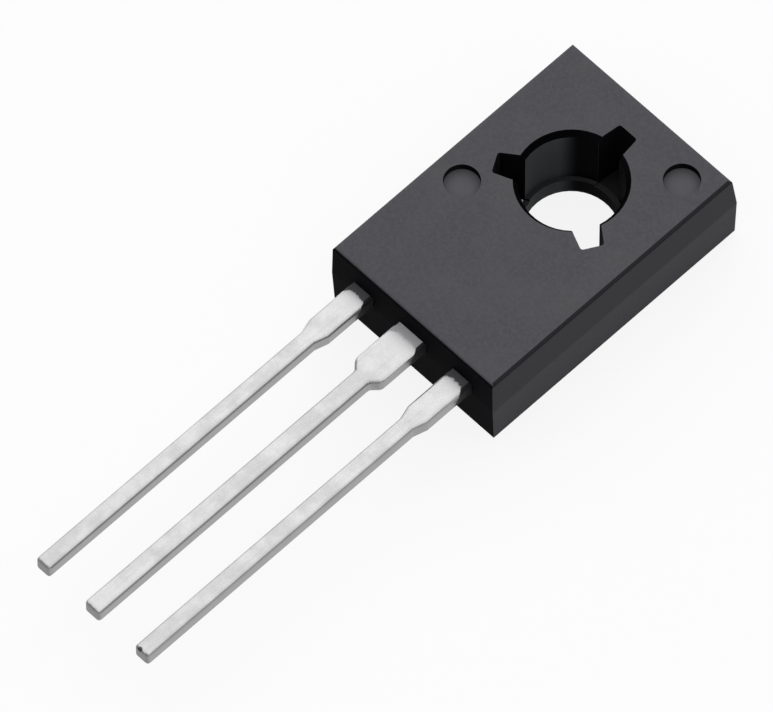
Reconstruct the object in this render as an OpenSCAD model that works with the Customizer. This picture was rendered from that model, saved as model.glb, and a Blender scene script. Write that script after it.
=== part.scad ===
// Thyristor in a flat three-lead plastic package with a screw hole.
// Millimetres. The origin is where the screw hole's axis meets the back face.
// +Z points out of the front face, and the leads run along -Y.

/* [Body] */
// Width of the moulded body at its parting line
body_w = 7.4; // [7:0.1:8.3]
// Length of the moulded body at its parting line
body_l = 11.2; // [10.6:0.1:12]
// Thickness of the moulded body
body_t = 3.4; // [3:0.05:3.6]
// Distance from the screw hole's axis to the far end
hole_to_end = 3.9; // [3.7:0.05:4.2]
// Radius of the edge round the front face
front_edge_r = 0.15; // [0.05:0.05:0.25]

/* [Mould draft] */
// How far each long side leans in between the parting line and the front face
side_draft_front = 0.03; // [0:0.01:0.15]
// How far each long side leans in between the parting line and the back face
side_draft_back = 0.03; // [0:0.01:0.1]
// How far the far end leans in towards the front face
far_draft_front = 0.22; // [0:0.01:0.3]
// How far the far end leans in towards the back face
far_draft_back = 0.03; // [0:0.01:0.1]
// How far the lead end leans in towards the front face
lead_draft_front = 0.01; // [0:0.01:0.15]
// How far the lead end leans in towards the back face
lead_draft_back = 0.09; // [0:0.01:0.15]

/* [Screw hole] */
// Diameter of the screw hole through the back of the body
screw_hole_d = 3.2; // [3:0.05:3.4]
// Diameter of the wider hole where it opens at the front face
front_hole_d = 3.86; // [3.7:0.02:4.2]
// Width of the chamfer round the wider hole's rim
rim_chamfer_w = 0.17; // [0.05:0.01:0.2]
// Depth of the chamfer round the wider hole's rim
rim_chamfer_h = 0.22; // [0.05:0.01:0.3]
// Thickness of the plastic over the tab where the hole steps out to its wider part
ledge_t = 0.1; // [0.05:0.05:0.4]
// Number of hold-down slots round the wider hole
slot_count = 3; // [2:1:4]
// Width of each hold-down slot where it leaves the hole
slot_w = 0.95; // [0.7:0.05:1.1]
// Width of each hold-down slot at its outer end
slot_end_w = 0.78; // [0.5:0.02:1.1]
// Radius of the slots' outer corners
slot_corner_r = 0.1; // [0.02:0.02:0.2]
// Distance from the hole's axis to the outer end of each slot
slot_reach = 2.6; // [2.3:0.05:2.7]

/* [Ejector marks] */
// Diameter of each round ejector-pin mark
mark_d = 1.25; // [0.8:0.05:1.5]
// Depth of each mark below the front face
mark_depth = 0.3; // [0.1:0.02:0.4]
// Sideways distance from the hole's axis to each mark
mark_x = 2.5; // [2.2:0.02:2.7]
// Lengthways distance from the hole's axis to each mark
mark_y = 2.55; // [2.4:0.05:2.8]

/* [Lead frame] */
// Thickness of the stamped strip that the tab and the leads are cut from
metal_t = 0.6; // [0.4:0.02:0.62]
// Distance between the centre lines of neighbouring leads
lead_pitch = 2.27; // [2.2:0.01:2.4]
// Height of the back of the leads above the back of the body
lead_z = 1.8; // [1.5:0.05:1.9]
// Length of the leads outside the body
lead_l = 14.5; // [10:0.25:17]
// Width of the centre lead next to the body
centre_root_w = 1.25; // [1:0.05:1.4]
// Width of the centre lead beyond its shoulders
centre_lead_w = 0.68; // [0.5:0.02:0.9]
// Length of the centre lead's wide root outside the body
centre_root_l = 2; // [1:0.05:3]
// Length of the centre lead's sloping shoulders
centre_shoulder_l = 0.3; // [0.1:0.05:1]
// Width of the outer leads next to the body
outer_root_w = 0.92; // [0.8:0.02:1.2]
// Width of the outer leads beyond their shoulders
outer_lead_w = 0.62; // [0.5:0.02:0.78]
// Length of the outer leads' wide root outside the body
outer_root_l = 2; // [1:0.05:3]
// Length of the outer leads' sloping shoulders
outer_shoulder_l = 0.5; // [0.1:0.05:1]

/* [Tab] */
// Plastic left at each side of the tab
tab_side_wall = 0.8; // [0.6:0.05:1]
// Plastic left beyond the far end of the tab
tab_end_wall = 0.7; // [0.5:0.05:1]
// Thickness of the plastic lining in the tab's hole
hole_lining_t = 0.2; // [0.1:0.05:0.3]
// Radius of the half-round notches that lock the tab's sides in the plastic
lock_notch_r = 0.4; // [0.2:0.05:0.5]
// Size of the chamfers on the tab's far corners
tab_chamfer = 0.4; // [0.1:0.05:0.8]
// Angle of the neck that climbs from the tab to the centre lead
neck_angle = 60; // [50:1:70]
// Inner radius of the neck's two bends
neck_bend_r = 0.25; // [0.1:0.05:0.4]
// Length of the centre lead that lies flat inside the body
centre_seat_l = 0.7; // [0.4:0.05:0.9]

/* [Bonding paddles] */
// Width of the paddle at the inner end of each outer lead
paddle_w = 1.5; // [1.2:0.05:1.7]
// Length of each paddle
paddle_l = 1.5; // [1:0.05:1.7]
// Depth of plastic between the lead end of the body and each paddle
paddle_cover = 0.5; // [0.3:0.05:0.8]
// Size of the chamfers on the paddles' corners
paddle_chamfer = 0.2; // [0.1:0.05:0.3]

/* [Chip and wires] */
// Side of the square thyristor chip
die_w = 2.2; // [1.6:0.1:2.4]
// Thickness of the chip
die_t = 0.25; // [0.2:0.01:0.3]
// Width of the etched moat round the chip's top
moat_w = 0.15; // [0.1:0.01:0.2]
// Depth of the moat
moat_depth = 0.06; // [0.02:0.01:0.1]
// Bare tab left between the chip and the neck
die_margin = 0.35; // [0.2:0.05:0.5]
// Thickness of the solder under the chip
solder_t = 0.05; // [0.03:0.01:0.08]
// Width of the solder that shows round the chip
solder_rim = 0.05; // [0.02:0.01:0.1]
// Diameter of the cathode's bond wire
cathode_wire_d = 0.3; // [0.2:0.01:0.38]
// Diameter of the gate's bond wire
gate_wire_d = 0.15; // [0.1:0.01:0.2]
// Length of a bond's flat foot, in wire diameters
foot_l_in_d = 1.3; // [1:0.1:2]
// How steeply the wire loops stand
loop_angle = 50; // [45:1:55]
// Share of each wire loop that is taken by the bends at its feet
foot_bend_share = 0.35; // [0.25:0.05:0.45]

/* [Hidden] */

round_fn = 64;
wire_sides = 10;
arc_steps = 6;
through = 1;

epoxy_black = [0.16, 0.16, 0.17];
tinned = [0.83, 0.83, 0.84];
silicon_grey = [0.35, 0.37, 0.42];
solder_grey = [0.6, 0.6, 0.62];
aluminium_wire = [0.85, 0.86, 0.88];

// Outside of the body
far_y = hole_to_end;
lead_end_y = far_y - body_l;
half_w = body_w / 2;
// The mould halves meet at the back of the leads
parting_z = lead_z;
front_rise = body_t - parting_z;

// Screw hole
screw_hole_r = screw_hole_d / 2;
front_hole_r = front_hole_d / 2;
bore_r = front_hole_r - rim_chamfer_w;
ledge_z = metal_t + ledge_t;
first_slot_angle = 90;
slot_lean = atan((slot_w - slot_end_w) / 2 / (slot_reach - front_hole_r));

// Lead frame
lead_front_z = lead_z + metal_t;
tip_y = lead_end_y - lead_l;
tab_hole_r = screw_hole_r + hole_lining_t;
half_tab_w = half_w - tab_side_wall;
tab_far_y = far_y - tab_end_wall;

// Neck: two bends of one radius with a straight slope between them
neck_mid_r = neck_bend_r + metal_t / 2;
neck_outer_r = neck_bend_r + metal_t;
neck_slope_l = (lead_z - 2 * neck_mid_r * (1 - cos(neck_angle))) / sin(neck_angle);
neck_run = 2 * neck_mid_r * sin(neck_angle) + neck_slope_l * cos(neck_angle);
neck_top_y = lead_end_y + centre_seat_l;
neck_foot_y = neck_top_y + neck_run;

// Paddles
paddle_near_y = lead_end_y + paddle_cover;
paddle_far_y = paddle_near_y + paddle_l;

// Chip
die_y = neck_foot_y + die_margin + die_w / 2;
die_back_z = metal_t + solder_t;
die_front_z = die_back_z + die_t;
mesa_w = die_w - 2 * moat_w;
lock_notch_y = die_y + die_w / 2 - lock_notch_r;

// Bond points, each on the metal or silicon that the foot is pressed on.
// The cathode's is left of the chip's centre, and the gate's is in the near right corner.
cathode_bond_x = -die_w / 6;
gate_pad_inset = moat_w + 2 * gate_wire_d;
gate_bond_x = die_w / 2 - gate_pad_inset;
gate_bond_y = die_y - die_w / 2 + gate_pad_inset;
paddle_bond_y = paddle_far_y - paddle_l / 3;
cathode_from = [cathode_bond_x, die_y, die_front_z];
cathode_to = [-lead_pitch, paddle_bond_y, lead_front_z];
gate_from = [gate_bond_x, gate_bond_y, die_front_z];
gate_to = [lead_pitch, paddle_bond_y, lead_front_z];
// A pressed foot keeps this share of the wire's radius below its centre line
foot_squash = 0.6;

// Points along an arc
function arc(centre, r, from, to, steps = arc_steps) =
    [for (i = [0 : steps])
        let (a = from + (to - from) * i / steps)
        centre + r * [cos(a), sin(a)]];

// Centre of the round at a front edge whose wall leans in by draft
function round_inset(draft) =
    draft * (front_rise - front_edge_r) / front_rise
    + front_edge_r / cos(atan(draft / front_rise));

// Upright section of the moulding: both mould halves, with round front edges
module mould_section(low, high, low_back, high_back, low_front, high_front) {
    low_lean = atan(low_front / front_rise);
    high_lean = atan(high_front / front_rise);
    round_z = body_t - front_edge_r;
    low_centre = [low + round_inset(low_front), round_z];
    high_centre = [high - round_inset(high_front), round_z];
    polygon(concat(
        [[low, parting_z], [low + low_back, 0], [high - high_back, 0], [high, parting_z]],
        arc(high_centre, front_edge_r, high_lean, 90),
        arc(low_centre, front_edge_r, 90, 180 - low_lean)
    ));
}

// The moulding before anything is cut out of it
module body_block() {
    intersection() {
        // Section across the body, drawn along its length
        translate([0, far_y + through, 0])
            rotate([90, 0, 0])
                linear_extrude(body_l + 2 * through)
                    mould_section(-half_w, half_w, side_draft_back, side_draft_back,
                        side_draft_front, side_draft_front);
        // Section along the body, drawn across its width
        translate([-half_w - through, 0, 0])
            rotate([90, 0, 90])
                linear_extrude(body_w + 2 * through)
                    mould_section(lead_end_y, far_y, lead_draft_back, far_draft_back,
                        lead_draft_front, far_draft_front);
    }
}

// Screw hole at the back, wider hole at the front with a chamfered rim
module stepped_hole() {
    translate([0, 0, -through])
        cylinder(r = screw_hole_r, h = body_t + 2 * through, $fn = round_fn);
    translate([0, 0, ledge_z])
        cylinder(r = bore_r, h = body_t - ledge_z + through, $fn = round_fn);
    translate([0, 0, body_t - rim_chamfer_h])
        cylinder(r1 = bore_r, r2 = front_hole_r, h = rim_chamfer_h, $fn = round_fn);
}

// Plan of one slot, from the hole's axis outwards along X: it narrows towards
// its end, and its side runs on tangent to the round at each outer corner
module slot_outline() {
    corner_x = slot_reach - slot_corner_r;
    side_y = slot_w / 2 - tan(slot_lean) * (corner_x - front_hole_r);
    corner_y = side_y - slot_corner_r / cos(slot_lean);
    polygon(concat(
        [[0, -slot_w / 2], [front_hole_r, -slot_w / 2]],
        arc([corner_x, -corner_y], slot_corner_r, slot_lean - 90, 0),
        arc([corner_x, corner_y], slot_corner_r, 0, 90 - slot_lean),
        [[front_hole_r, slot_w / 2], [0, slot_w / 2]]
    ));
}

// Slots left by the mould's pins that hold the tab down, bare to the tab
module hold_down_slots() {
    for (i = [0 : slot_count - 1])
        rotate([0, 0, first_slot_angle + i * 360 / slot_count])
            translate([0, 0, metal_t])
                linear_extrude(body_t - metal_t + through)
                    slot_outline();
}

module ejector_marks() {
    for (side = [-1, 1])
        translate([side * mark_x, side * mark_y, body_t - mark_depth])
            cylinder(d = mark_d, h = mark_depth + through, $fn = round_fn);
}

module moulded_body() {
    color(epoxy_black)
        difference() {
            body_block();
            stepped_hole();
            hold_down_slots();
            ejector_marks();
            anode_frame();
            cathode_lead();
            gate_lead();
            die_solder();
            thyristor_die();
            cathode_wire();
            gate_wire();
        }
}

// Outline that is the same on both sides of the Y axis, from its right half
module mirrored_outline(right_half) {
    last = len(right_half) - 1;
    polygon(concat(
        right_half,
        [for (i = [last : -1 : 0]) [-right_half[i][0], right_half[i][1]]]
    ));
}

// Right half of a lead outside the body, from its tip to a root of some width
function lead_half(root_w, lead_w, root_l, shoulder_l) = [
    [lead_w / 2, tip_y],
    [lead_w / 2, lead_end_y - root_l - shoulder_l],
    [root_w / 2, lead_end_y - root_l]
];

// Right half of the paddle at the inner end of an outer lead
paddle_half = [
    [outer_root_w / 2, paddle_near_y],
    [paddle_w / 2 - paddle_chamfer, paddle_near_y],
    [paddle_w / 2, paddle_near_y + paddle_chamfer],
    [paddle_w / 2, paddle_far_y - paddle_chamfer],
    [paddle_w / 2 - paddle_chamfer, paddle_far_y]
];

// Flat tab with its hole and its locking notches
module tab() {
    linear_extrude(metal_t)
        difference() {
            mirrored_outline([
                [half_tab_w, neck_foot_y],
                [half_tab_w, tab_far_y - tab_chamfer],
                [half_tab_w - tab_chamfer, tab_far_y]
            ]);
            circle(r = tab_hole_r, $fn = round_fn);
            for (side = [-1, 1])
                translate([side * half_tab_w, lock_notch_y])
                    circle(r = lock_notch_r, $fn = round_fn);
        }
}

// Side view of the neck as points of length and height, from tab to lead
module neck_profile() {
    foot = [neck_foot_y, neck_outer_r];
    top = [neck_top_y, lead_front_z - neck_outer_r];
    // Both ends of the neck run on inside the tab and the lead
    foot_on = neck_foot_y + metal_t;
    top_on = neck_top_y - centre_seat_l / 2;
    polygon(concat(
        [[foot_on, metal_t], [foot_on, 0]],
        arc(foot, neck_outer_r, 270, 270 - neck_angle),
        arc(top, neck_bend_r, 90 - neck_angle, 90),
        [[top_on, lead_z], [top_on, lead_front_z]],
        arc(top, neck_outer_r, 90, 90 - neck_angle),
        arc(foot, neck_bend_r, 270 - neck_angle, 270)
    ));
}

module neck() {
    translate([-centre_root_w / 2, 0, 0])
        rotate([90, 0, 90])
            linear_extrude(centre_root_w)
                neck_profile();
}

// Tab, neck and centre lead, stamped and bent from one strip
module anode_frame() {
    color(tinned)
        union() {
            tab();
            neck();
            translate([0, 0, lead_z])
                linear_extrude(metal_t)
                    mirrored_outline(concat(
                        lead_half(centre_root_w, centre_lead_w, centre_root_l, centre_shoulder_l),
                        [[centre_root_w / 2, neck_top_y]]
                    ));
        }
}

// Outer lead with the paddle that its bond wire lands on
module outer_lead(side) {
    translate([side * lead_pitch, 0, lead_z])
        linear_extrude(metal_t)
            mirrored_outline(concat(
                lead_half(outer_root_w, outer_lead_w, outer_root_l, outer_shoulder_l),
                paddle_half
            ));
}

module cathode_lead() {
    color(tinned) outer_lead(-1);
}

module gate_lead() {
    color(tinned) outer_lead(1);
}

// Square block centred on the chip
module chip_layer(w, from_z, h) {
    translate([-w / 2, die_y - w / 2, from_z])
        cube([w, w, h]);
}

module die_solder() {
    color(solder_grey)
        chip_layer(die_w + 2 * solder_rim, metal_t, solder_t);
}

// Chip with the moat etched round its top
module thyristor_die() {
    color(silicon_grey)
        union() {
            chip_layer(die_w, die_back_z, die_t - moat_depth);
            chip_layer(mesa_w, die_back_z, die_t);
        }
}

// Points of a wire's centre line along one bend: [length, height, slope, pad height]
function wire_bend(centre, bend_r, from, to, slope_at_0, pad_z) =
    [for (i = [0 : arc_steps])
        let (a = from + (to - from) * i / arc_steps)
        [centre[0] + bend_r * cos(a), centre[1] + bend_r * sin(a), a - slope_at_0, pad_z]];

// Centre line of a bond wire: flat foot, rise, crown, fall, flat foot.
// The three bends meet tangent to tangent, so two angles fix the whole loop.
function wire_path(span, climb_h, foot_l, foot_z) =
    let (
        climb = atan(climb_h / span),
        rise = loop_angle + climb,
        fall = loop_angle - climb,
        bends_r = norm([span, climb_h]) / (2 * sin(loop_angle)),
        foot_r = foot_bend_share * bends_r,
        first = [0, foot_z + foot_r],
        crown = first + bends_r * [sin(rise), -cos(rise)],
        last = crown + bends_r * [sin(fall), cos(fall)],
        // The crown's own end points would repeat those of the bends beside it
        crown_from = 90 + rise - rise / arc_steps,
        crown_to = 90 - fall + fall / arc_steps
    )
    concat(
        [[-foot_l, foot_z, 0, 0]],
        wire_bend(first, foot_r, 270, 270 + rise, 270, 0),
        wire_bend(crown, bends_r - foot_r, crown_from, crown_to, 90, 0),
        wire_bend(last, foot_r, 270 - fall, 270, 270, climb_h),
        [[span + foot_l, climb_h + foot_z, 0, climb_h]]
    );

// One ring of points round the wire, pressed flat where it would pass the pad
function wire_ring(at, wire_r) =
    [for (k = [0 : wire_sides - 1])
        let (a = 360 * k / wire_sides)
        [
            at[0] - wire_r * sin(a) * sin(at[2]),
            wire_r * cos(a),
            max(at[3], at[1] + wire_r * sin(a) * cos(at[2]))
        ]];

// Tube through rings of points, closed at both ends
module tube(rings) {
    last = len(rings) - 1;
    n = wire_sides;
    polyhedron(
        points = [for (ring = rings) each ring],
        faces = concat(
            [[for (k = [0 : n - 1]) k]],
            [for (i = [0 : last - 1], k = [0 : n - 1])
                [i * n + k, (i + 1) * n + k, (i + 1) * n + (k + 1) % n]],
            [for (i = [0 : last - 1], k = [0 : n - 1])
                [i * n + k, (i + 1) * n + (k + 1) % n, i * n + (k + 1) % n]],
            [[for (k = [n - 1 : -1 : 0]) last * n + k]]
        )
    );
}

// Bond wire from one pad to a higher one
module bond_wire(from, to, wire_d) {
    wire_r = wire_d / 2;
    step = to - from;
    path = wire_path(norm([step[0], step[1]]), step[2], foot_l_in_d * wire_d, foot_squash * wire_r);
    translate(from)
        rotate([0, 0, atan2(step[1], step[0])])
            tube([for (at = path) wire_ring(at, wire_r)]);
}

module cathode_wire() {
    color(aluminium_wire) bond_wire(cathode_from, cathode_to, cathode_wire_d);
}

module gate_wire() {
    color(aluminium_wire) bond_wire(gate_from, gate_to, gate_wire_d);
}

moulded_body();
anode_frame();
cathode_lead();
gate_lead();
die_solder();
thyristor_die();
cathode_wire();
gate_wire();
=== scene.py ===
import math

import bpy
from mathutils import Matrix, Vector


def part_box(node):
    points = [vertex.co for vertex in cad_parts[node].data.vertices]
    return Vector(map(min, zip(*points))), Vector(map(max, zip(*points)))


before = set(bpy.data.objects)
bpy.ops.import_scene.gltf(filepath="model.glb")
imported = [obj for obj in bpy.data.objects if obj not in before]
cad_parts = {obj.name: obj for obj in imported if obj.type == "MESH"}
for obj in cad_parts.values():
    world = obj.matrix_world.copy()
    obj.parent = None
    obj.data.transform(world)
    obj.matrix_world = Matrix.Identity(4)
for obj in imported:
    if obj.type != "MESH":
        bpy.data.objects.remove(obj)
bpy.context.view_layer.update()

# Looks, light and camera of a thyristor in a flat three-lead plastic package.
# Everything is in metres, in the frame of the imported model: the origin is where the screw hole's
# axis meets the back face, +Z points out of the front face, and the leads run along -Y.
# Sizes whose comment says so, and all sizes inside the materials, are in millimetres.

MM = 0.001

# The picture, and where the camera stands
IMAGE_W, IMAGE_H = 773, 712
AZIMUTH, ELEVATION = 45.31, 60.0
CAMERA_DISTANCE = 0.7
SENSOR_W = 36.0
PIXELS_PER_MM = 30.68
ORIGIN_PIXEL = (571.2, 233.4)

# Brightness, where 1 is white. FLOOR_GLOW is the share of the floor that is seen as plain white.
WORLD_GLOW = 0.45
FLOOR_GLOW = 0.86

# Lamps: direction from the origin, distance and size in metres, brightness of the face
LAMPS = {
    "overhead_box": ((-0.16, 0.16, 1.0), 0.3, 0.6, 0.63),
    "back_box": ((-0.35, 0.65, 0.6), 0.5, 0.3, 1.3),
    "left_box": ((-0.9, 0.35, 0.25), 0.5, 0.5, 0.45),
}

FLOOR_RADIUS = 0.35
FLOOR_SIDES = 96
FLOOR_GAP = 0.01 * MM

# Heights and depths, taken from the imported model, in millimetres
BODY_LOW, BODY_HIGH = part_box("moulded_body")
LEAD_LOW, LEAD_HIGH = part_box("cathode_lead")
PARTING_Z = LEAD_LOW[2] / MM
FRONT_Z = BODY_HIGH[2] / MM
LEAD_END_Y = BODY_LOW[1] / MM
TIP_Y = LEAD_LOW[1] / MM
LEAD_TOP_Z = LEAD_HIGH[2] / MM
TAB_FRONT_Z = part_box("die_solder")[0][2] / MM

# Body, in millimetres: the wide front bore and the slots' reach from the screw hole's axis, the
# depth of the ejector-pin marks, and a box round the axis that both marks lie in
BORE_R = 1.76
SLOT_REACH = 2.6
MARK_DEPTH = 0.3
MARKS_HALF_X = 3.2
MARKS_HALF_Y = 3.3

# Leads, in millimetres: their pitch, their widths at the body, and the length beyond it that carries
# a painted highlight
LEAD_PITCH = 2.27
CENTRE_ROOT_W = 1.25
OUTER_ROOT_W = 0.92
BRIGHT_ROOT = 1.5

# Dark bands at the leads' roots, in millimetres: the dull cap's length in the middle of a lead
# and what its sides add, and how wide the dark band is on the right and on the left side
CAP_LENGTH = 0.28
CAP_SIDE_LENGTH = 0.22
RIGHT_DARK_WIDTH = 0.14
LEFT_DARK_WIDTH = 0.05

# Painted marks: the painted shade of a small notch at a lead's tip and a painted glint on the tab in
# a slot; centre and radius in millimetres
TIP_NOTCH_SHADE = ((LEAD_PITCH - 0.09, TIP_Y + 0.04, LEAD_TOP_Z - 0.04), 0.09)
PAINTED_GLINT = ((-1.70, -0.45, TAB_FRONT_Z), 0.11)

# Rounding of the leads' stamped edges: radius in millimetres, steps, and the least fold in degrees
LEAD_ROUNDING = 0.12
ROUNDING_STEPS = 5
SHARP_FOLD = 35.0


# Camera

def view_axes(azimuth, elevation):
    """Right, up and backward directions of a camera at an azimuth and elevation in degrees."""
    a, e = math.radians(azimuth), math.radians(elevation)
    back = Vector((math.sin(a) * math.cos(e), -math.cos(a) * math.cos(e), math.sin(e)))
    right = Vector((math.cos(a), math.sin(a), 0))
    return right, back.cross(right), back


def make_camera():
    """Camera whose picture shows the origin at ORIGIN_PIXEL and a millimetre at PIXELS_PER_MM."""
    right, up, back = view_axes(AZIMUTH, ELEVATION)
    metres_per_pixel = MM / PIXELS_PER_MM
    pixels_right = IMAGE_W / 2 - ORIGIN_PIXEL[0]
    pixels_down = IMAGE_H / 2 - ORIGIN_PIXEL[1]
    aim = (right * pixels_right - up * pixels_down) * metres_per_pixel
    data = bpy.data.cameras.new("camera")
    data.sensor_width = SENSOR_W
    data.lens = SENSOR_W * CAMERA_DISTANCE / (IMAGE_W * metres_per_pixel)
    data.clip_start = CAMERA_DISTANCE * 0.1
    data.clip_end = CAMERA_DISTANCE * 3
    camera = bpy.data.objects.new("camera", data)
    bpy.context.scene.collection.objects.link(camera)
    camera.location = aim + back * CAMERA_DISTANCE
    camera.rotation_mode = "QUATERNION"
    camera.rotation_quaternion = back.to_track_quat("Z", "Y")
    bpy.context.scene.camera = camera


# Light

def soft_box(name, direction, distance, size, glow):
    """Square lamp that faces the origin from a direction, and whose face is so bright."""
    towards = Vector(direction).normalized()
    data = bpy.data.lights.new(name, "AREA")
    data.shape = "SQUARE"
    data.size = size
    data.energy = glow * math.pi * size ** 2
    lamp = bpy.data.objects.new(name, data)
    bpy.context.scene.collection.objects.link(lamp)
    lamp.location = towards * distance
    lamp.rotation_mode = "QUATERNION"
    lamp.rotation_quaternion = towards.to_track_quat("Z", "Y")
    lamp.visible_camera = False


def make_lights():
    for name, (direction, distance, size, glow) in LAMPS.items():
        soft_box(name, direction, distance, size, glow)


def make_world():
    world = bpy.data.worlds.new("studio")
    bpy.context.scene.world = world
    world.use_nodes = True
    background = world.node_tree.nodes["Background"]
    background.inputs["Color"].default_value = (1.0, 1.0, 1.0, 1.0)
    background.inputs["Strength"].default_value = WORLD_GLOW


# Node trees

def connect(tree, socket, value):
    """Gives a socket a value, or links it to an output or to the first output of a node."""
    if isinstance(value, bpy.types.Node):
        value = value.outputs[0]
    if isinstance(value, bpy.types.NodeSocket):
        tree.links.new(value, socket)
    else:
        socket.default_value = value


def math_node(tree, operation, *values):
    """Adds a math node to a tree and returns its result."""
    node = tree.nodes.new("ShaderNodeMath")
    node.operation = operation
    for socket, value in zip(node.inputs, values):
        connect(tree, socket, value)
    return node.outputs[0]


def opaque(colour):
    """A colour of three numbers with an alpha of 1, and anything else as it is."""
    if isinstance(colour, tuple) and len(colour) == 3:
        return (*colour, 1.0)
    return colour


class Graph:
    """The nodes of one material. Sizes in it are in millimetres on the object. A share is a value
    that is 1 in the place it is named after and 0 elsewhere."""

    def __init__(self, name):
        self.material = bpy.data.materials.new(name)
        self.material.use_nodes = True
        self.tree = self.material.node_tree
        self.shader = self.tree.nodes["Principled BSDF"]
        source = self.tree.nodes.new("ShaderNodeTexCoord")
        self.place = self.add("VectorMath", {"operation": "SCALE"},
                              Vector=source.outputs["Object"], Scale=1 / MM)
        normal = source.outputs["Normal"]
        self.x, self.y, self.z = self.add("SeparateXYZ", None, Vector=self.place).outputs
        self.nx, self.ny, self.nz = self.add("SeparateXYZ", None, Vector=normal).outputs

    def add(self, kind, settings=None, **inputs):
        """Adds a shader node. An underscore in an input's name stands for a space."""
        node = self.tree.nodes.new("ShaderNode" + kind)
        for name, value in (settings or {}).items():
            setattr(node, name, value)
        for name, value in inputs.items():
            connect(self.tree, node.inputs[name.replace("_", " ")], value)
        return node

    def math(self, operation, *values):
        return math_node(self.tree, operation, *values)

    def times(self, first, *others):
        """Product of values. Of shares, it is the share of the place that they have in common."""
        product = first
        for value in others:
            product = self.math("MULTIPLY", product, value)
        return product

    def plus(self, a, b):
        return self.math("ADD", a, b)

    def minus(self, a, b):
        return self.math("SUBTRACT", a, b)

    def either(self, a, b):
        """Share of the places of two shares together."""
        return self.math("MAXIMUM", a, b)

    def size_of(self, value):
        """The value without its sign."""
        return self.math("ABSOLUTE", value)

    def length(self, a, b):
        return self.math("SQRT", self.plus(self.times(a, a), self.times(b, b)))

    def step(self, value, start, end, low=0.0, high=1.0):
        """Goes smoothly from low to high as the value goes from start to end."""
        node = self.add("MapRange", {"interpolation_type": "SMOOTHSTEP"}, Value=value,
                        From_Min=start, From_Max=end, To_Min=low, To_Max=high)
        return node.outputs["Result"]

    def noise(self, per_mm, detail=3.0, roughness=0.55, stretch=(1, 1, 1)):
        """Noise from 0 to 1 with so many features a millimetre."""
        scaled = self.add("VectorMath", {"operation": "MULTIPLY"}, Vector=self.place)
        scaled.inputs[1].default_value = stretch
        node = self.add("TexNoise", None, Vector=scaled, Scale=per_mm, Detail=detail,
                        Roughness=roughness)
        return node.outputs["Fac"]

    def spot(self, centre, radius):
        """Share of a round spot with a soft edge."""
        away = self.add("VectorMath", {"operation": "DISTANCE"}, Vector=self.place)
        away.inputs[1].default_value = centre
        return self.step(away.outputs["Value"], radius * 1.3, radius * 0.7)

    def blend(self, share, first, second):
        """Colour that goes from the first to the second as the share goes from 0 to 1."""
        node = self.tree.nodes.new("ShaderNodeMix")
        node.data_type = "RGBA"
        connect(self.tree, node.inputs["Factor"], share)
        for name, value in (("A", first), ("B", second)):
            socket = next(s for s in node.inputs if s.name == name and s.type == "RGBA")
            connect(self.tree, socket, opaque(value))
        return next(s for s in node.outputs if s.type == "RGBA")

    def paint(self, colour, layers):
        """Lays colours over a colour. A layer is a share and a colour, and the last is on top."""
        for share, layer in layers:
            colour = self.blend(share, colour, layer)
        return colour

    def bump(self, height, depth_mm, below=None):
        """Bump whose height of 1 stands so many millimetres high, on top of the bump below it."""
        node = self.add("Bump", None, Height=height, Strength=1.0, Distance=depth_mm * MM)
        if below is not None:
            connect(self.tree, node.inputs["Normal"], below)
        return node.outputs["Normal"]

    def finish(self, **inputs):
        """Sets the shader's inputs and returns the material."""
        for name, value in inputs.items():
            connect(self.tree, self.shader.inputs[name.replace("_", " ")], opaque(value))
        return self.material


# Epoxy

def hole_light_and_shade(g, wall, in_hole, deep, slanted):
    """Painted light and shade in the screw hole and its slots, lowest layer first: painted shade on
    the ledge, painted light on the walls, and near-black painted shade on the walls turned away, on
    the slot walls and on the chamfer.
    """
    slot_side = g.step(g.length(g.x, g.y), BORE_R + 0.005, BORE_R + 0.02)
    turned_away = g.step(g.plus(g.nx, g.ny), -0.3, -1.0)
    hole_wall = g.times(wall, in_hole)
    return (
        (g.times(in_hole, deep, g.step(g.nz, 0.9, 0.98)), (0.040, 0.041, 0.044)),
        (hole_wall, (0.085, 0.091, 0.095)),
        (g.times(hole_wall, turned_away), (0.004, 0.005, 0.005)),
        (g.times(wall, g.times(in_hole, slot_side)), (0.008, 0.008, 0.010)),
        (g.times(slanted, in_hole), (0.0015, 0.0015, 0.002)),
    )


def mark_light_and_shade(g, wall, outside_hole, deep):
    """Painted light on the floors of the two ejector-pin marks and painted shade on their rims,
    floor first.
    """
    floor = g.times(deep, outside_hole, g.step(g.nz, 0.9, 0.98))
    rim = g.times(
        wall,
        g.step(g.z, FRONT_Z - MARK_DEPTH - 0.04, FRONT_Z - MARK_DEPTH),
        g.step(g.size_of(g.x), MARKS_HALF_X + 0.1, MARKS_HALF_X),
        g.step(g.size_of(g.y), MARKS_HALF_Y + 0.1, MARKS_HALF_Y),
    )
    return (
        (g.times(floor, 0.8), (0.122, 0.120, 0.130)),
        (rim, (0.012, 0.012, 0.014)),
    )


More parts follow.
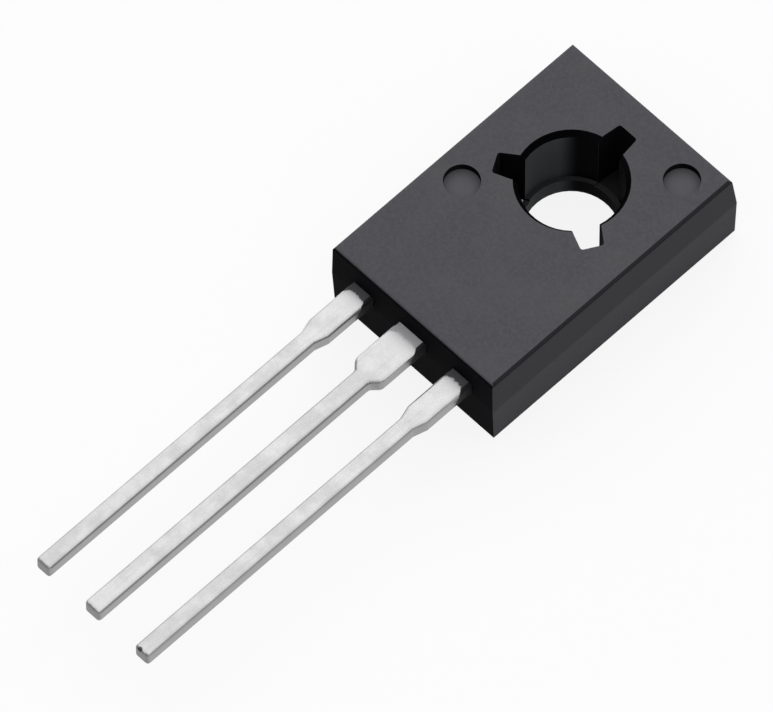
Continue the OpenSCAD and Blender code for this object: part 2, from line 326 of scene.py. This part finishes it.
def epoxy_light_and_shade(g, wall, lead_end):
    """Painted shade and painted light on the moulding away from its front face, lowest layer first.
    """
    in_hole = g.step(g.length(g.x, g.y), SLOT_REACH + 0.1, SLOT_REACH + 0.05)
    outside_hole = g.minus(1.0, in_hole)
    slanted = g.times(g.step(g.nz, 0.97, 0.93), g.step(g.nz, 0.1, 0.3))
    # Painted dark reflection along the rounded right front edge
    right_edge = g.times(slanted, g.step(g.nx, 0.1, 0.3), outside_hole)
    deep = g.step(g.z, FRONT_Z - MARK_DEPTH + 0.08, FRONT_Z - MARK_DEPTH + 0.04)
    # The walls are painted darker as shade, and less dark below the parting line as a painted sheen.
    below_parting = g.step(g.z, PARTING_Z + 0.05, PARTING_Z - 0.15)
    side = g.times(wall, g.step(below_parting, 0.0, 1.0, 0.85, 0.5))
    return (
        (side, (0.041, 0.040, 0.045)),
        *mark_light_and_shade(g, wall, outside_hole, deep),
        *hole_light_and_shade(g, wall, in_hole, deep, slanted),
        # painted dark reflection on the right front edge
        (g.times(right_edge, 0.85), (0.016, 0.016, 0.018)),
        # painted shade: the lead end face near black
        (lead_end, (0.004, 0.004, 0.005)),
    )


def epoxy():
    """Matte black moulding compound with the even grain of a spark-eroded mould. Painted shade makes
    its sides, slots, chamfer, right front edge and lead end blacker than its front face, and painted
    light lightens its hole walls and mark floors."""
    g = Graph("epoxy")
    wall = g.step(g.size_of(g.nz), 0.6, 0.4)
    lead_end = g.step(g.ny, -0.5, -0.8)
    filler = g.noise(9.0, 4.0, 0.6)
    cloud = g.noise(0.55, 3.0)
    grain = g.noise(16.0, 3.0, 0.6)

    colour = g.blend(g.step(filler, 0.3, 0.7), (0.081, 0.080, 0.089), (0.097, 0.095, 0.105))
    colour = g.blend(g.step(cloud, 0.35, 0.7, 0.0, 0.35), colour, (0.105, 0.102, 0.106))
    colour = g.paint(colour, epoxy_light_and_shade(g, wall, lead_end))

    normal = g.bump(g.noise(3.0, 2.0), 0.003)
    normal = g.bump(grain, 0.0025, normal)
    roughness = g.plus(g.step(grain, 0.2, 0.8, 0.56, 0.68), g.times(wall, -0.04))
    roughness = g.plus(roughness, g.times(lead_end, 0.25))
    return g.finish(Base_Color=colour, Roughness=roughness, Normal=normal, Specular_IOR_Level=0.025)


# Tin

def shade_in_slots(g):
    """Share of the tab where the front slots bare it, painted near black as the shade deep in the
    slots.
    """
    near_hole = g.step(g.length(g.x, g.y), SLOT_REACH + 0.2, SLOT_REACH + 0.1)
    return g.times(near_hole, g.step(g.z, TAB_FRONT_Z - 0.05, TAB_FRONT_Z - 0.01))


def dark_on_sides(g, outside, from_right, from_left):
    """Share of the dark band along a lead's sides. On the right it runs further out lower down."""
    sunk = g.minus(LEAD_TOP_Z, g.z)
    right_reach = g.minus(outside, g.times(sunk, 0.6))
    right_width = g.step(right_reach, 0.6, 0.3, -0.05, RIGHT_DARK_WIDTH)
    left_width = g.step(outside, 0.5, 0.1, -0.05, LEFT_DARK_WIDTH)
    return g.either(g.step(g.minus(from_right, right_width), 0.02, -0.02),
                    g.step(g.minus(from_left, left_width), 0.02, -0.02))


def root_darkening(g, on_lead, ragged):
    """Darkening at the roots of the leads: the share of the dull cap across each lead, the cap's
    colour, and the share of the dark band on the sides."""
    outside = g.plus(g.minus(LEAD_END_Y, g.y), ragged)
    lane = g.math("ROUND", g.math("DIVIDE", g.x, LEAD_PITCH))
    aside = g.minus(g.x, g.times(lane, LEAD_PITCH))
    outer = g.step(g.size_of(lane), 0.4, 0.6)
    half_w = g.step(outer, 0.0, 1.0, CENTRE_ROOT_W / 2, OUTER_ROOT_W / 2)
    across = g.math("DIVIDE", g.size_of(aside), half_w)

    cap_edge = g.plus(CAP_LENGTH, g.times(g.math("POWER", across, 3.0), CAP_SIDE_LENGTH))
    cap = g.times(on_lead, g.step(g.minus(outside, cap_edge), 0.04, -0.04))
    cap_colour = g.blend(outer, (0.47, 0.47, 0.49), (0.075, 0.075, 0.08))
    side_band = dark_on_sides(g, outside, g.minus(half_w, aside), g.plus(half_w, aside))
    return cap, cap_colour, g.times(on_lead, side_band)


def tin():
    """Matte tin over copper: soft mottling on the wide faces, sheared sides painted darker as shade,
    duller cut ends, a painted highlight on the length beyond the body, dark bands at the roots,
    and painted shade with a painted glint on the tab in the slots."""
    g = Graph("tin")
    mottle = g.noise(1.5, 2.0, 0.5)
    crystal = g.noise(12.0, 2.0, 0.5)
    streak = g.noise(8.0, 2.0, 0.5, (1.0, 0.06, 1.0))
    ragged = g.times(g.minus(g.noise(5.0, 3.0), 0.5), 0.25)

    upright = g.step(g.minus(g.size_of(g.nz), g.times(g.nx, 0.3)), 0.62, 0.15)
    cut_end = g.step(g.ny, -0.5, -0.85)
    end_skin = g.step(g.plus(g.minus(g.y, TIP_Y), ragged), 0.09, 0.03)
    dull_end = g.either(cut_end, g.times(end_skin, 0.8))
    on_lead = g.step(g.y, LEAD_END_Y + 0.2, LEAD_END_Y + 0.1)
    root_highlight = g.times(on_lead, g.step(g.y, LEAD_END_Y - BRIGHT_ROOT, LEAD_END_Y - 0.3))
    cap, cap_colour, side_dark = root_darkening(g, on_lead, ragged)
    slot_shade = shade_in_slots(g)
    dark_and_shade = g.either(side_dark, slot_shade)

    colour = g.blend(g.step(mottle, 0.3, 0.7), (0.55, 0.55, 0.555), (0.66, 0.655, 0.655))
    colour = g.paint(colour, (
        (g.step(streak, 0.45, 0.75, 0.0, 0.25), (0.48, 0.48, 0.485)),
        # painted highlight on the length beyond the body
        (root_highlight, (0.76, 0.76, 0.77)),
        # sides painted darker as shade
        (g.times(upright, 0.85), (0.27, 0.27, 0.275)),
        (dull_end, (0.25, 0.245, 0.245)),
        (cap, cap_colour),
        # near black on the dark bands at the roots, and as painted shade in the slots
        (dark_and_shade, (0.010, 0.010, 0.012)),
        # painted shade of a small notch at a lead's tip
        (g.spot(*TIP_NOTCH_SHADE), (0.08, 0.08, 0.08)),
        # painted glint on the tab in the left slot
        (g.times(slot_shade, g.spot(*PAINTED_GLINT)), (0.95, 0.95, 0.95)),
    ))

    not_metal = g.either(dark_and_shade, g.either(cap, g.times(root_highlight, 0.6)))
    roughness = g.plus(g.step(crystal, 0.2, 0.8, 0.20, 0.28), g.times(dull_end, 0.2))
    roughness = g.plus(roughness, g.times(g.either(dark_and_shade, cap), 0.3))
    normal = g.bump(mottle, 0.002)
    normal = g.bump(crystal, 0.0003, normal)
    normal = g.bump(streak, 0.0004, normal)
    return g.finish(Base_Color=colour, Metallic=g.minus(1.0, not_metal), Roughness=roughness,
                    Normal=normal, Specular_IOR_Level=0.3)


# The pieces sealed inside

def silicon():
    """Chip of dark, faintly clouded silicon."""
    g = Graph("silicon")
    colour = g.blend(g.noise(1.2, 2.0), (0.05, 0.055, 0.075), (0.09, 0.095, 0.12))
    roughness = g.step(g.noise(20.0, 2.0), 0.2, 0.8, 0.14, 0.26)
    return g.finish(Base_Color=colour, Roughness=roughness, Metallic=0.6)


def solder():
    """Dull, lumpy solder."""
    g = Graph("solder")
    lumps = g.noise(3.0, 3.0)
    colour = g.blend(lumps, (0.42, 0.42, 0.44), (0.58, 0.58, 0.60))
    roughness = g.step(lumps, 0.2, 0.8, 0.3, 0.45)
    return g.finish(Base_Color=colour, Metallic=1.0, Roughness=roughness,
                    Normal=g.bump(lumps, 0.01))


def aluminium():
    """Bond wire with a fine, uneven surface."""
    g = Graph("aluminium")
    marks = g.noise(24.0, 2.0)
    colour = g.blend(marks, (0.80, 0.81, 0.83), (0.90, 0.90, 0.91))
    roughness = g.step(marks, 0.2, 0.8, 0.2, 0.34)
    return g.finish(Base_Color=colour, Metallic=1.0, Roughness=roughness,
                    Normal=g.bump(marks, 0.002))


NODE_MATERIALS = {
    "moulded_body": epoxy,
    "anode_frame": tin,
    "cathode_lead": tin,
    "gate_lead": tin,
    "thyristor_die": silicon,
    "die_solder": solder,
    "cathode_wire": aluminium,
    "gate_wire": aluminium,
}


def dress_nodes():
    """Gives each node its material. Nodes with the same maker share one."""
    made = {}
    for name, maker in NODE_MATERIALS.items():
        if maker not in made:
            made[maker] = maker()
        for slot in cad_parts[name].material_slots:
            slot.material = made[maker]


# Rounded edges of the leads

def store_on_edges(tree, geometry, name, kind, value):
    """Adds a node that writes a value on every edge, and returns the geometry that leaves it."""
    store = tree.nodes.new("GeometryNodeStoreNamedAttribute")
    store.data_type = kind
    store.domain = "EDGE"
    store.inputs["Name"].default_value = name
    connect(tree, store.inputs["Geometry"], geometry)
    connect(tree, store.inputs["Value"], value)
    return store.outputs["Geometry"]


def edge_marker():
    """Node group that gives the sharp edges outside the body full bevel weight, and marks the
    others as sharp, so that their faces keep flat shading."""
    tree = bpy.data.node_groups.new("edge_marker", "GeometryNodeTree")
    for way in ("INPUT", "OUTPUT"):
        tree.interface.new_socket("Geometry", in_out=way, socket_type="NodeSocketGeometry")
    place = tree.nodes.new("ShaderNodeSeparateXYZ")
    connect(tree, place.inputs[0], tree.nodes.new("GeometryNodeInputPosition"))
    fold = tree.nodes.new("GeometryNodeInputMeshEdgeAngle").outputs["Unsigned Angle"]

    sharp = math_node(tree, "GREATER_THAN", fold, math.radians(SHARP_FOLD))
    outside = math_node(tree, "LESS_THAN", place.outputs["Y"], LEAD_END_Y * MM)
    rounded = math_node(tree, "MULTIPLY", sharp, outside)
    kept = math_node(tree, "SUBTRACT", sharp, rounded)
    geometry = tree.nodes.new("NodeGroupInput").outputs[0]
    geometry = store_on_edges(tree, geometry, "bevel_weight_edge", "FLOAT", rounded)
    geometry = store_on_edges(tree, geometry, "sharp_edge", "BOOLEAN", kept)
    connect(tree, tree.nodes.new("NodeGroupOutput").inputs[0], geometry)
    return tree


def soften_edges(name, marker):
    """Rounds a lead's stamped edges outside the body with modifiers, its mesh unchanged."""
    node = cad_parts[name]
    node.modifiers.new("weld", "WELD").merge_threshold = 1e-7
    node.modifiers.new("marks", "NODES").node_group = marker
    bevel = node.modifiers.new("bevel", "BEVEL")
    bevel.width = LEAD_ROUNDING * MM
    bevel.segments = ROUNDING_STEPS
    bevel.limit_method = "WEIGHT"
    bevel.use_clamp_overlap = False
    node.modifiers.new("normals", "WEIGHTED_NORMAL").keep_sharp = True


# Floor

def floor_paint():
    """White paper. A share of it shines white to the camera, to mirrors and through clear things,
    which lightens the background and leaves the shadow that falls on the rest."""
    g = Graph("floor_paint")
    colour = g.blend(g.noise(0.8, 3.0), (0.92, 0.92, 0.92), (0.94, 0.94, 0.94))
    material = g.finish(Base_Color=colour, Roughness=0.9, Specular_IOR_Level=0.1)
    rays = g.add("LightPath").outputs
    seen = g.either(rays["Is Camera Ray"], rays["Is Glossy Ray"])
    seen = g.either(seen, rays["Is Transmission Ray"])
    white = g.add("Emission", None, Color=(1.0, 1.0, 1.0, 1.0), Strength=1.0)
    mixed = g.add("MixShader", None, Fac=g.times(seen, FLOOR_GLOW))
    connect(g.tree, mixed.inputs[1], g.shader)
    connect(g.tree, mixed.inputs[2], white)
    connect(g.tree, g.tree.nodes["Material Output"].inputs["Surface"], mixed)
    return material


def make_floor():
    """Round floor just under the part."""
    turns = [2 * math.pi * i / FLOOR_SIDES for i in range(FLOOR_SIDES)]
    ring = [(FLOOR_RADIUS * math.cos(turn), FLOOR_RADIUS * math.sin(turn), 0) for turn in turns]
    mesh = bpy.data.meshes.new("floor")
    mesh.from_pydata(ring, [], [list(range(FLOOR_SIDES))])
    floor = bpy.data.objects.new("floor", mesh)
    bpy.context.scene.collection.objects.link(floor)
    floor.location.z = BODY_LOW[2] - FLOOR_GAP
    mesh.materials.append(floor_paint())


bpy.context.scene.view_settings.view_transform = "Standard"
make_camera()
make_world()
make_lights()
make_floor()
dress_nodes()
marker = edge_marker()
for lead in ("anode_frame", "cathode_lead", "gate_lead"):
    soften_edges(lead, marker)
